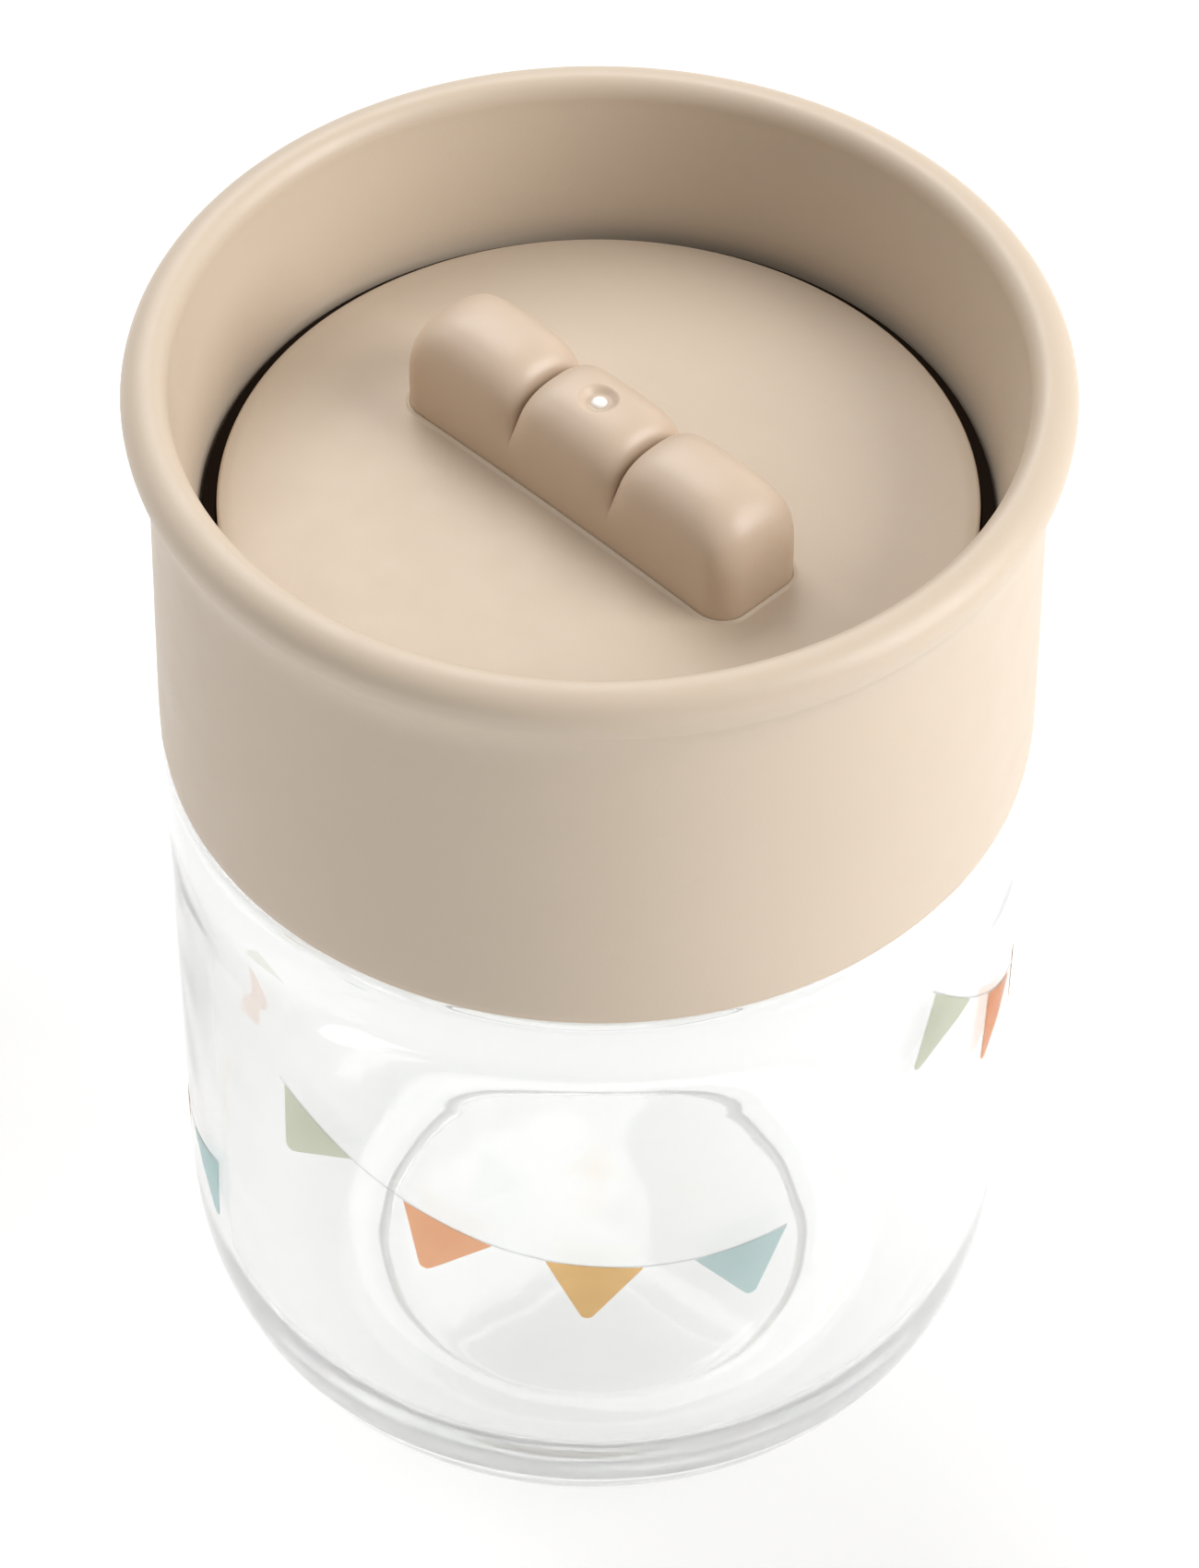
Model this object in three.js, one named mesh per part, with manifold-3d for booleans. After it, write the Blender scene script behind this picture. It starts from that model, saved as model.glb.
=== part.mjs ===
// Sippy cup with a drinking rim all the way round: a clear tumbler, a screw collar that forms the rim,
// and a lift-out valve with a three-lobed finger grip. Millimetres, +Z up, foot on z = 0, grip along X.
import * as THREE from "three";
import { mergeVertices } from "three/addons/utils/BufferGeometryUtils.js";
import Module from "manifold-3d";

const wasm = await Module();
wasm.setup();

// ---- driving dimensions ----
const GAP = 0.3; // running gap between neighbouring pieces
const ROUND = 48; // segments round the large turned pieces
const FINE = 32; // segments round the small turned pieces

const FOOT_IN_R = 19.5; // inner edge of the foot ring
const FOOT_OUT_R = 21.2; // outer edge of the flat foot
const WALL_LOW_R = 36.1; // outside of the cup where the rounded bottom begins
const WALL_LOW_Z = 18.2;
const WALL_TOP_R = 36.5; // outside of the cup under its shoulder
const SHOULDER_Z = 70.9;
const SHOULDER_ROUND = 1.2;
const WALL = 2.3; // wall of the cup
const CORNER_POWER = 2.3; // superellipse power of the rounded bottom
const FLOOR_Z = 5.6; // inside floor on the axis
const FLOOR_EDGE_Z = 5.0;
const FLOOR_EDGE_R = 20;

const NECK_OUT_R = 33.2;
const NECK_IN_R = 31.0;
const NECK_TOP_Z = 88.5;
const THREAD_LEAD = 12; // rise in one turn
const THREAD_STARTS = 3;
const THREAD_DEPTH = 1.0;
const THREAD_LOW_Z = 76.5; // first neck thread, at the start of its turn
const THREAD_TURN = 0.62; // share of a turn that each neck thread runs
const LUG_TURN = 0.3; // share of a turn that each collar lug runs
const LUG_BELOW = 1.5; // how far a lug sits under the thread that holds it

const SKIRT_IN_R = 34.5;
const COLLAR_LOW_Z = 71.3;
const RIM_R = 38.0; // widest circle of the drinking rim
const RIM_WIDE_Z = 107.0;
const CREST_R = 35.7; // highest circle of the rim
const LIP_IN_R = 34.2; // inside of the rolled edge
const LIP_IN_Z = 107.1;
const ROLL_UNDER = 3.5; // how deep the underside of the rolled edge curves
const ROLL_STEPS = 5;
const HEM_R = 36.5; // outside of the collar near its foot
const HEM_Z = 75;
const WAIST_R = 36.2; // and at its narrowest, under the flare
const WAIST_Z = 94.5;
const FLARE_LOW_Z = 99;
const FLARE_TOP_Z = 105;
const FLARE_POWER = 3; // how late the flare turns outwards
const FLARE_STEPS = 5;
const RIM_TOP_Z = 109.0;
const WEB_IN_R = 29.5; // hole through the seat of the valve
const WEB_LOW_Z = 90.3;
const WEB_TOP_Z = 91.9;
const WELL_R = 32.3; // inside of the collar just above the seat

const DISC_R = 30.85;
const DISC_EDGE_Z = 95.1;
const DISC_CROWN = 1.0; // how much higher the disc is on its axis
const DISC_WALL = 1.1;
const SEAL_R = 31.7;
const SEAL_LOW_Z = WEB_TOP_Z + GAP;
const SEAL_TOP_Z = 93.1;

const GRIP_LONG = 36;
const GRIP_WIDE = 8.6;
const GRIP_PLAN_R = 2.4;
const LOBE_PITCH = 12;
const LOBE_TOP = [9.7, 10.8, 9.7]; // lobe heights above the rim of the disc
const CREASE_TOP = 6.3;
const LOBE_POWER = 3.0;
const STEM_R = 3.6;
const STEM_LOW_Z = 79.0;
const VENT_BORE_R = 1.3;
const VENT_RECESS_R = 1.7;
const VENT_RECESS_DEEP = 0.8;
const RING_Z = 84.2; // middle of the ring round the stem
const RING_R = 0.6; // thickness radius of that ring
const HUB_IN_R = 4.3;
const HUB_OUT_R = 6.4;
const SPOKES = 4;

// ---- colours ----
const BEIGE = 0xd9c8b4;
const BEIGE_DISC = 0xd7c4ae;
const BEIGE_GRIP = 0xd5bfa9;
const CLEAR = 0xf1f3f2;
const SILICONE = 0xe9e6df;
const WHITE = 0xf7f5ef;

const group = new THREE.Group();
group.name = "sippy_cup";

function addMesh(name, geometry, color, roughness, opacity = 1) {
  const material = new THREE.MeshStandardMaterial({ color, roughness, metalness: 0 });
  material.name = name;
  if (opacity < 1) {
    material.transparent = true;
    material.opacity = opacity;
  }
  const mesh = new THREE.Mesh(geometry, material);
  mesh.name = name;
  group.add(mesh);
}

// A turned body from [radius, height] points that run anticlockwise in the r-z half plane.
function turned(points, segments = ROUND) {
  const profile = points.map(([r, z]) => new THREE.Vector2(r, z));
  const [first, last] = [profile[0], profile[profile.length - 1]];
  if (first.x > 0 || last.x > 0) {
    profile.push(first.clone());
  }
  const geometry = new THREE.LatheGeometry(profile, segments);
  geometry.rotateX(Math.PI / 2);
  return geometry;
}

// A manifold-3d solid from a three.js geometry; an inside-out one is turned right way out.
function solid(geometry) {
  const bare = new THREE.BufferGeometry();
  bare.setAttribute("position", geometry.getAttribute("position").clone());
  if (geometry.index) {
    bare.setIndex(geometry.index.clone());
  }
  const merged = mergeVertices(bare, 1e-4);
  const at = merged.getAttribute("position").array;
  const kept = [];
  for (let i = 0; i < merged.index.count; i += 3) {
    const [a, b, c] = [0, 1, 2].map((k) => merged.index.getX(i + k));
    if (a !== b && b !== c && c !== a) {
      kept.push(a, b, c);
    }
  }
  let volume = 0;
  for (let i = 0; i < kept.length; i += 3) {
    const [a, b, c] = [0, 1, 2].map((k) => new THREE.Vector3().fromArray(at, 3 * kept[i + k]));
    volume += a.dot(b.cross(c));
  }
  if (volume < 0) {
    kept.reverse();
  }
  return new wasm.Manifold(
    new wasm.Mesh({
      numProp: 3,
      vertProperties: Float32Array.from(at),
      triVerts: Uint32Array.from(kept),
    }),
  );
}

function geometryOf(body) {
  const mesh = body.getMesh();
  const geometry = new THREE.BufferGeometry();
  geometry.setAttribute("position", new THREE.BufferAttribute(mesh.vertProperties, 3));
  geometry.setIndex(new THREE.BufferAttribute(mesh.triVerts, 1));
  const flat = geometry.toNonIndexed();
  flat.computeVertexNormals();
  return flat;
}

// A closed body from equal rings of points, capped at both ends by fans round each ring's middle.
function lofted(rings) {
  const count = rings[0].length;
  const at = [];
  const index = [];
  for (const ring of rings) {
    for (const point of ring) {
      at.push(...point);
    }
  }
  for (let i = 0; i + 1 < rings.length; i++) {
    for (let k = 0; k < count; k++) {
      const a = i * count + k;
      const b = i * count + ((k + 1) % count);
      index.push(a, b, b + count, a, b + count, a + count);
    }
  }
  for (const [i, flip] of [[0, false], [rings.length - 1, true]]) {
    const middle = [0, 1, 2].map((d) => rings[i].reduce((sum, p) => sum + p[d], 0) / count);
    const hub = at.length / 3;
    at.push(...middle);
    for (let k = 0; k < count; k++) {
      const a = i * count + k;
      const b = i * count + ((k + 1) % count);
      index.push(...(flip ? [hub, a, b] : [hub, b, a]));
    }
  }
  const geometry = new THREE.BufferGeometry();
  geometry.setAttribute("position", new THREE.Float32BufferAttribute(at, 3));
  geometry.setIndex(index);
  return geometry;
}

// A helical ridge with a tapered start and end, its root sunk in the wall that it stands on.
function threadRidge(rootR, crestR, rootHalf, crestHalf, z0, angle0, share) {
  const steps = Math.round(ROUND * share);
  const rings = [];
  for (let i = 0; i <= steps; i++) {
    const t = i / steps;
    const angle = angle0 + t * share * 2 * Math.PI;
    const z = z0 + t * share * THREAD_LEAD;
    const taper = Math.min(1, Math.min(t, 1 - t) * steps / 3);
    const tip = rootR + (crestR - rootR) * (0.25 + 0.75 * taper);
    const ring = [];
    for (const [r, dz] of [[rootR, -rootHalf], [tip, -crestHalf], [tip, crestHalf], [rootR, rootHalf]]) {
      ring.push([r * Math.cos(angle), r * Math.sin(angle), z + dz]);
    }
    rings.push(ring);
  }
  return lofted(rings);
}

// Points of a rounded rectangle in plan, corner by corner.
function roundedPlan(long, wide, radius, perCorner) {
  const points = [];
  for (let corner = 0; corner < 4; corner++) {
    const sx = corner === 0 || corner === 3 ? 1 : -1;
    const sy = corner < 2 ? 1 : -1;
    for (let i = 0; i <= perCorner; i++) {
      const angle = (corner + i / perCorner) * Math.PI / 2;
      const x = sx * (long / 2 - radius) + radius * Math.cos(angle);
      const y = sy * (wide / 2 - radius) + radius * Math.sin(angle);
      points.push([x, y]);
    }
  }
  return points;
}

function roundedBlock(long, wide, radius, lowZ, topZ) {
  const plan = roundedPlan(long, wide, radius, 5);
  return lofted([lowZ, topZ].map((z) => plan.map(([x, y]) => [x, y, z])));
}

// Height of the disc's top face at a radius.
function discTop(r) {
  return DISC_EDGE_Z + DISC_CROWN * (1 - (r / DISC_R) ** 2);
}

// A rounded corner from straight wall (outR, topZ) down to (inR, lowZ).
function bowlCorner(inR, outR, lowZ, topZ, steps) {
  const points = [];
  for (let i = 0; i <= steps; i++) {
    const angle = (i / steps) * Math.PI / 2;
    const across = Math.sin(angle) ** (2 / CORNER_POWER);
    const down = Math.cos(angle) ** (2 / CORNER_POWER);
    points.push([inR + (outR - inR) * across, topZ - (topZ - lowZ) * down]);
  }
  return points;
}

// ---- cup body: rounded bottom, foot ring, shoulder and threaded neck ----
const cupOutside = [
  [0, 2.8],
  [9, 2.5],
  [17.5, 1.7],
  [19.0, 1.2],
  [FOOT_IN_R - 0.1, 0.35],
  [FOOT_IN_R + 0.25, 0],
  ...bowlCorner(FOOT_OUT_R, WALL_LOW_R, 0, WALL_LOW_Z, 7),
  [36.3, 44],
  [WALL_TOP_R, SHOULDER_Z - SHOULDER_ROUND],
  [WALL_TOP_R - 0.35, SHOULDER_Z - 0.35],
  [WALL_TOP_R - SHOULDER_ROUND, SHOULDER_Z],
  [NECK_OUT_R + 0.6, SHOULDER_Z],
  [NECK_OUT_R, SHOULDER_Z + 0.6],
  [NECK_OUT_R, NECK_TOP_Z - 0.5],
  [NECK_OUT_R - 0.5, NECK_TOP_Z],
];
const cupInside = [
  [NECK_IN_R + 0.5, NECK_TOP_Z],
  [NECK_IN_R, NECK_TOP_Z - 0.5],
  [NECK_IN_R, SHOULDER_Z + 0.5],
  [NECK_IN_R + 0.6, SHOULDER_Z - 2],
  [WALL_TOP_R - WALL - 0.7, SHOULDER_Z - 4.6],
  [WALL_TOP_R - WALL, SHOULDER_Z - 7],
  [34.0, 44],
  ...bowlCorner(FLOOR_EDGE_R, WALL_LOW_R - WALL, FLOOR_EDGE_Z, WALL_LOW_Z, 7).reverse(),
  [11, 5.4],
  [0, FLOOR_Z],
];
let cup = solid(turned([...cupOutside, ...cupInside]));
for (let i = 0; i < THREAD_STARTS; i++) {
  const angle = (i * 2 * Math.PI) / THREAD_STARTS;
  const root = NECK_OUT_R - 0.5;
  const crest = NECK_OUT_R + THREAD_DEPTH;
  cup = cup.add(solid(threadRidge(root, crest, 0.95, 0.4, THREAD_LOW_Z, angle, THREAD_TURN)));
}
addMesh("cup_body", geometryOf(cup), CLEAR, 0.08, 0.3);

// ---- collar: skirt, flared rolled drinking rim, inner funnel and seat for the valve ----
// Points on an ellipse in the profile, between two angles from the outward direction.
function profileArc(centreR, centreZ, across, up, from, to, steps) {
  const points = [];
  for (let step = 1; step <= steps; step += 1) {
    const angle = from + ((to - from) * step) / steps;
    points.push([centreR + across * Math.cos(angle), centreZ + up * Math.sin(angle)]);
  }
  return points;
}

const rollStart = -Math.asin((RIM_WIDE_Z - FLARE_TOP_Z) / ROLL_UNDER);
const rollWide = RIM_R - CREST_R;
const flareReach = CREST_R + rollWide * Math.cos(rollStart) - WAIST_R;
const flare = [];
for (let step = 0; step <= FLARE_STEPS; step += 1) {
  const share = step / FLARE_STEPS;
  flare.push([WAIST_R + flareReach * share ** FLARE_POWER, FLARE_LOW_Z + (FLARE_TOP_Z - FLARE_LOW_Z) * share]);
}
const collarOutside = [
  [SKIRT_IN_R + 0.3, COLLAR_LOW_Z],
  [HEM_R - 0.4, COLLAR_LOW_Z],
  [HEM_R - 0.1, COLLAR_LOW_Z + 0.35],
  [HEM_R, HEM_Z],
  [WAIST_R, WAIST_Z],
  ...flare,
  ...profileArc(CREST_R, RIM_WIDE_Z, rollWide, ROLL_UNDER, rollStart, 0, 2),
  ...profileArc(CREST_R, RIM_WIDE_Z, rollWide, RIM_TOP_Z - RIM_WIDE_Z, 0, Math.PI / 2, ROLL_STEPS),
  ...profileArc(CREST_R, LIP_IN_Z, CREST_R - LIP_IN_R, RIM_TOP_Z - LIP_IN_Z, Math.PI / 2, Math.PI, ROLL_STEPS),
];
const collarInside = [
  [WELL_R, 93.0],
  [WELL_R - 0.4, WEB_TOP_Z],
  [WEB_IN_R + 0.2, WEB_TOP_Z],
  [WEB_IN_R, WEB_TOP_Z - 0.2],
  [WEB_IN_R, WEB_LOW_Z],
  [SKIRT_IN_R, WEB_LOW_Z],
  [SKIRT_IN_R, COLLAR_LOW_Z + 0.3],
];
let collar = solid(turned([...collarOutside, ...collarInside]));
const lugPhase = 2 * Math.PI * (THREAD_TURN - LUG_TURN) * 0.5;
for (let i = 0; i < THREAD_STARTS; i++) {
  const angle = (i * 2 * Math.PI) / THREAD_STARTS + lugPhase;
  const z = THREAD_LOW_Z - LUG_BELOW + (THREAD_LEAD * lugPhase) / (2 * Math.PI);
  const root = SKIRT_IN_R + 0.5;
  const crest = SKIRT_IN_R - THREAD_DEPTH;
  collar = collar.add(solid(threadRidge(root, crest, 0.8, 0.4, z, angle, LUG_TURN)));
}
addMesh("collar", geometryOf(collar), BEIGE, 0.5);

// ---- gasket between the neck rim and the collar ----
const gasket = turned([
  [31.4, NECK_TOP_Z + GAP],
  [33.7, NECK_TOP_Z + GAP],
  [33.9, NECK_TOP_Z + GAP + 0.2],
  [33.9, WEB_LOW_Z - GAP - 0.2],
  [33.7, WEB_LOW_Z - GAP],
  [31.4, WEB_LOW_Z - GAP],
  [31.2, WEB_LOW_Z - GAP - 0.2],
  [31.2, NECK_TOP_Z + GAP + 0.2],
]);
addMesh("collar_gasket", gasket, SILICONE, 0.6);

// ---- valve carrier: rim under the seat, spokes and a hub socket for the stem ----
const carrierRim = turned([
  [27.3, 86],
  [28.9, 86],
  [29.2, 86.3],
  [29.2, 88.3],
  [30.5, 88.5],
  [30.5, 90.0],
  [29.2, 90.0],
  [29.2, 91.4],
  [28.9, 91.7],
  [27.6, 91.7],
  [27.3, 91.4],
]);
const carrierHub = turned(
  [
    [HUB_IN_R + 0.4, 80.5],
    [HUB_OUT_R - 0.3, 80.5],
    [HUB_OUT_R, 80.8],
    [HUB_OUT_R, 88.7],
    [HUB_OUT_R - 0.3, 89],
    [HUB_IN_R + 0.4, 89],
    [HUB_IN_R, 88.6],
    [HUB_IN_R, 80.9],
  ],
  FINE,
);
let carrier = solid(carrierRim).add(solid(carrierHub));
for (let i = 0; i < SPOKES; i++) {
  const spoke = new THREE.BoxGeometry(28 - (HUB_IN_R + 1), 2.6, 2.4);
  spoke.translate((28 + HUB_IN_R + 1) / 2, 0, 87.3);
  spoke.rotateZ(Math.PI / SPOKES + (i * 2 * Math.PI) / SPOKES);
  carrier = carrier.add(solid(spoke));
}
addMesh("valve_carrier", geometryOf(carrier), BEIGE, 0.5);

// ---- silicone seal that closes the gap round the disc ----
const seal = turned([
  [STEM_R + GAP, SEAL_LOW_Z],
  [SEAL_R - 0.2, SEAL_LOW_Z],
  [SEAL_R, SEAL_LOW_Z + 0.15],
  [SEAL_R, SEAL_LOW_Z + 0.45],
  [SEAL_R - 0.2, SEAL_LOW_Z + 0.6],
  [29.6, SEAL_TOP_Z],
  [STEM_R + GAP, SEAL_TOP_Z],
]);
addMesh("valve_seal", seal, SILICONE, 0.55);

// ---- washer that clamps the seal to the foot of the grip ----
const washer = turned(
  [
    [STEM_R + GAP, 90.3],
    [8.6, 90.3],
    [9, 90.7],
    [9, SEAL_LOW_Z - GAP],
    [STEM_R + GAP, SEAL_LOW_Z - GAP],
  ],
  FINE,
);
addMesh("seal_washer", washer, WHITE, 0.5);

// ---- disc cover: shallow inverted tray with a slot for the grip ----
const coverLowZ = SEAL_TOP_Z + GAP;
const coverPoints = [];
for (const r of [0, 6, 12, 18, 24, 28.6]) {
  coverPoints.push([r, discTop(r) - DISC_WALL]);
}
coverPoints.push([29.2, 93.8]);
coverPoints.push([29.4, coverLowZ]);
coverPoints.push([DISC_R - 0.2, coverLowZ]);
coverPoints.push([DISC_R, coverLowZ + 0.2]);
coverPoints.push([DISC_R, DISC_EDGE_Z - 0.25]);
coverPoints.push([DISC_R - 0.25, discTop(DISC_R - 0.25)]);
for (const r of [27, 22, 17, 12, 7, 3, 0]) {
  coverPoints.push([r, discTop(r)]);
}
const slot = roundedBlock(GRIP_LONG + 2 * GAP, GRIP_WIDE + 2 * GAP, GRIP_PLAN_R + GAP, 90, 99);
const cover = solid(turned(coverPoints)).subtract(solid(slot));
addMesh("disc_cover", geometryOf(cover), BEIGE_DISC, 0.52);

// ---- finger grip: bar with three pillow lobes, foot flange and stem ----
// Height of the grip's ridge above the rim of the disc, at a place along its length.
function ridge(u) {
  const lobe = Math.min(2, Math.max(0, Math.round(u / LOBE_PITCH) + 1));
  const from = (u - (lobe - 1) * LOBE_PITCH) / (LOBE_PITCH / 2);
  const outward = lobe !== 1 && Math.sign(from) === Math.sign(lobe - 1);
  const base = outward ? 3.4 : CREASE_TOP;
  const rise = Math.max(0, 1 - Math.abs(from) ** LOBE_POWER) ** (1 / LOBE_POWER);
  return base + (LOBE_TOP[lobe] - base) * rise;
}

// Half width of the grip at a place along its length, from its rounded corners in plan.
function halfWidth(u) {
  const past = Math.abs(u) - (GRIP_LONG / 2 - GRIP_PLAN_R);
  const inset = past > 0 ? GRIP_PLAN_R - Math.sqrt(Math.max(0, GRIP_PLAN_R ** 2 - past ** 2)) : 0;
  return GRIP_WIDE / 2 - inset;
}

const gripFootZ = 94.3;
const gripStations = [];
for (const middle of [-LOBE_PITCH, 0, LOBE_PITCH]) {
  for (const step of [-1, -0.97, -0.88, -0.72, -0.45, 0, 0.45, 0.72, 0.88, 0.97]) {
    gripStations.push(middle + (step * LOBE_PITCH) / 2);
  }
}
gripStations.push(GRIP_LONG / 2);
const gripRings = gripStations.map((u) => {
  const half = halfWidth(u);
  const top = DISC_EDGE_Z + ridge(u);
  const corner = Math.min(2.6, half * 0.75);
  const ring = [[u, half, gripFootZ - 0.2]];
  for (let i = 0; i <= 4; i++) {
    const angle = (i / 4) * Math.PI / 2;
    const y = half - corner + corner * Math.cos(angle);
    ring.push([u, y, top - 0.35 - corner + corner * Math.sin(angle)]);
  }
  ring.push([u, 0, top]);
  const other = ring.slice(0, -1).map(([x, y, z]) => [x, -y, z]);
  return [...ring, ...other.reverse()];
});
const flange = roundedBlock(GRIP_LONG + 2, GRIP_WIDE + 2.4, GRIP_PLAN_R + 1, SEAL_TOP_Z + GAP, gripFootZ);
const stem = turned(
  [
    [0, STEM_LOW_Z],
    [STEM_R - 0.4, STEM_LOW_Z],
    [STEM_R, STEM_LOW_Z + 0.4],
    [STEM_R, RING_Z - 1.1],
    [STEM_R - 1.1, RING_Z - 1.1],
    [STEM_R - 1.1, RING_Z + 1.1],
    [STEM_R, RING_Z + 1.1],
    [STEM_R, gripFootZ],
    [0, gripFootZ],
  ],
  FINE,
);
const middleTopZ = DISC_EDGE_Z + LOBE_TOP[1];
const recessFloorZ = middleTopZ - VENT_RECESS_DEEP;
const recess = new THREE.CylinderGeometry(VENT_RECESS_R, VENT_RECESS_R - 0.2, 2 * VENT_RECESS_DEEP, 24);
recess.rotateX(Math.PI / 2);
recess.translate(0, 0, middleTopZ);
const bore = new THREE.CylinderGeometry(VENT_BORE_R, VENT_BORE_R, 40, 24);
bore.rotateX(Math.PI / 2);
bore.translate(0, 0, 90);
const grip = solid(lofted(gripRings))
  .add(solid(flange))
  .add(solid(stem))
  .subtract(solid(recess))
  .subtract(solid(bore));
addMesh("finger_grip", geometryOf(grip), BEIGE_GRIP, 0.45);

// ---- ring round the stem, seated in its groove ----
const ring = new THREE.TorusGeometry(STEM_R - 1.1 + GAP + RING_R, RING_R, 12, FINE);
ring.translate(0, 0, RING_Z);
addMesh("stem_ring", ring, SILICONE, 0.6);

// ---- vent insert in the middle lobe ----
const vent = turned(
  [
    [0, recessFloorZ - 4],
    [0.75, recessFloorZ - 4],
    [0.95, recessFloorZ - 3.8],
    [0.95, recessFloorZ + 0.35],
    [0.7, recessFloorZ + 0.55],
    [0, recessFloorZ + 0.6],
  ],
  24,
);
addMesh("vent_insert", vent, WHITE, 0.35);

// ---- silicone flap valve under the stem ----
const flap = turned(
  [
    [0, 77.1],
    [2.4, 77.1],
    [2.8, 77.5],
    [2.8, STEM_LOW_Z - GAP],
    [1.2, STEM_LOW_Z - GAP],
    [1.0, STEM_LOW_Z + 0.1],
    [1.0, STEM_LOW_Z + 2.2],
    [0, STEM_LOW_Z + 2.5],
  ],
  24,
);
addMesh("vent_flap", flap, SILICONE, 0.6);

export default group;
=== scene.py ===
"""Looks for the sippy cup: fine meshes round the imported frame, procedural plastics, lamps and camera.

Metres, +Z up, foot of the cup on z = 0, finger grip along X. Heights and outer sizes come from the
frame's boxes, and the constants below them give the sizes that no box holds.
"""

import math

import bmesh
import bpy
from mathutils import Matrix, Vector
from mathutils.geometry import delaunay_2d_cdt


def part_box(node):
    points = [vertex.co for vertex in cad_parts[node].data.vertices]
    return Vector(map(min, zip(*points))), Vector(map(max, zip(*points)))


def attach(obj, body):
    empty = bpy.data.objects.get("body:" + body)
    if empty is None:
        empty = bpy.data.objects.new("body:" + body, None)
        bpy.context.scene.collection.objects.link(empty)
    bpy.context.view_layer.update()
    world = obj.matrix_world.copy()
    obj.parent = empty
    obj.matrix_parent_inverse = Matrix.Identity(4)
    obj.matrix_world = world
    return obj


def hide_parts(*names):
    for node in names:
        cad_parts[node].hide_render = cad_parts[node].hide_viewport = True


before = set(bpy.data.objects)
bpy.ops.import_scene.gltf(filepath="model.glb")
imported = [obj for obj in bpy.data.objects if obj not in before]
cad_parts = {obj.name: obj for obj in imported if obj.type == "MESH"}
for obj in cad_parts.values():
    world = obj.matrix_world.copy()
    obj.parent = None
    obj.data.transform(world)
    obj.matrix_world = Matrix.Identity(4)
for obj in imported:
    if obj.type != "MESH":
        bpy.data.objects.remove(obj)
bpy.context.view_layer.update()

MM = 0.001
TURN = 2 * math.pi
SEGMENTS = 256  # round the large turned pieces
FINE_SEGMENTS = 96  # round the small turned pieces
CORNER_STEPS = 44  # up the cup's rounded bottom
FLARE_STEPS = 24  # up the collar's flare, and down its well
DISC_RINGS = 24  # across the disc, from the grip's slot to its edge

# ---- sizes read from the frame ----
CUP_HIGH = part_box("cup_body")[1]
COLLAR_LOW, COLLAR_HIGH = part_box("collar")
DISC_LOW, DISC_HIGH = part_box("disc_cover")
GRIP_LOW, GRIP_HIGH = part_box("finger_grip")
SEAL_LOW, SEAL_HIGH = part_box("valve_seal")
WASHER_LOW, WASHER_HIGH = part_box("seal_washer")
GASKET_LOW, GASKET_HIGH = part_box("collar_gasket")
CARRIER_LOW, CARRIER_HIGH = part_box("valve_carrier")
RING_LOW, RING_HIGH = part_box("stem_ring")
VENT_LOW, VENT_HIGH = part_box("vent_insert")
FLAP_LOW, FLAP_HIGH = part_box("vent_flap")

WALL_R = CUP_HIGH.x  # outside of the cup, at its widest just under the shoulder
NECK_TOP = CUP_HIGH.z
RIM_R = COLLAR_HIGH.x
RIM_TOP = COLLAR_HIGH.z
COLLAR_BOTTOM = COLLAR_LOW.z
DISC_R = DISC_HIGH.x
DISC_CROWN = 1.0 * MM
DISC_EDGE = DISC_HIGH.z - DISC_CROWN
GRIP_TOP = GRIP_HIGH.z
GRIP_FOOT = SEAL_HIGH.z + 0.3 * MM  # underside of its flange, just above the seal

# ---- the cup's and the collar's own sizes, the same as in the CAD ----
WALL = 2.3 * MM
FOOT_IN_R = 19.5 * MM
FOOT_OUT_R = 21.2 * MM
LOW_WALL_R = WALL_R - 0.4 * MM
LOW_WALL_Z = 18.2 * MM
CORNER_POWER = 2.3
SHOULDER = COLLAR_BOTTOM - 0.4 * MM
NECK_OUT_R = 33.2 * MM
NECK_IN_R = 31.0 * MM
SKIRT_IN_R = 34.5 * MM
HEM_R = 36.5 * MM  # outside of the collar near its foot
WAIST_R = 36.2 * MM  # and at its narrowest, under the flare
WAIST_Z = RIM_TOP - 14.5 * MM
FLARE_LOW_Z = RIM_TOP - 10 * MM
FLARE_TOP_Z = RIM_TOP - 4 * MM
FLARE_POWER = 3  # how late the flare turns outwards
RIM_WIDE_Z = RIM_TOP - 2 * MM
ROLL_UNDER = 3.5 * MM  # how deep the underside of the rolled edge curves
CREST_R = 35.7 * MM  # highest circle of the rim
LIP_IN_R = 34.2 * MM
LIP_IN_Z = RIM_TOP - 1.9 * MM
WELL_R = 32.3 * MM  # inside of the collar just above the seat
THREAD_LEAD = 12 * MM
THREAD_DEPTH = 1.0 * MM
THREAD_STARTS = 3
THREAD_LOW = NECK_TOP - 12 * MM
THREAD_SHARE = 0.62  # of a turn, for each start on the neck
LUG_SHARE = 0.3  # of a turn, for each lug of the collar
LUG_TURN_IN = 0.16  # of a turn, from a thread's end to its lug
CREST_HALF = 0.4 * MM  # half the width of a thread's or lug's crest
ON_FACE = 0.01 * MM  # how near a point has to be to count as on a face
WEB_IN_R = 29.5 * MM
STEM_R = 3.6 * MM

# ---- the finger grip's sizes, which are nearer to the photo's than the CAD's are ----
GRIP_LONG = 37.2 * MM
GRIP_WIDE = 9.5 * MM
GRIP_PLAN_R = 2.4 * MM
CREASE_AT = 5.65 * MM  # from the grip's middle to each crease
FLANGE_HIGH = 0.88 * MM

# ---- the camera ----
CAMERA_TURN = math.radians(45)
CAMERA_LENS = 137.65  # mm, on a sensor 36 mm wide
CAMERA_SHIFT = 0.0021
CAMERA_UP = 42.6  # degrees above a point just under the rim's centre
CAMERA_AWAY = 0.4763  # from that point
CAMERA_TILT = 46.48  # degrees that it looks down by
CAMERA_ROLL = 0.49  # degrees


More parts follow.
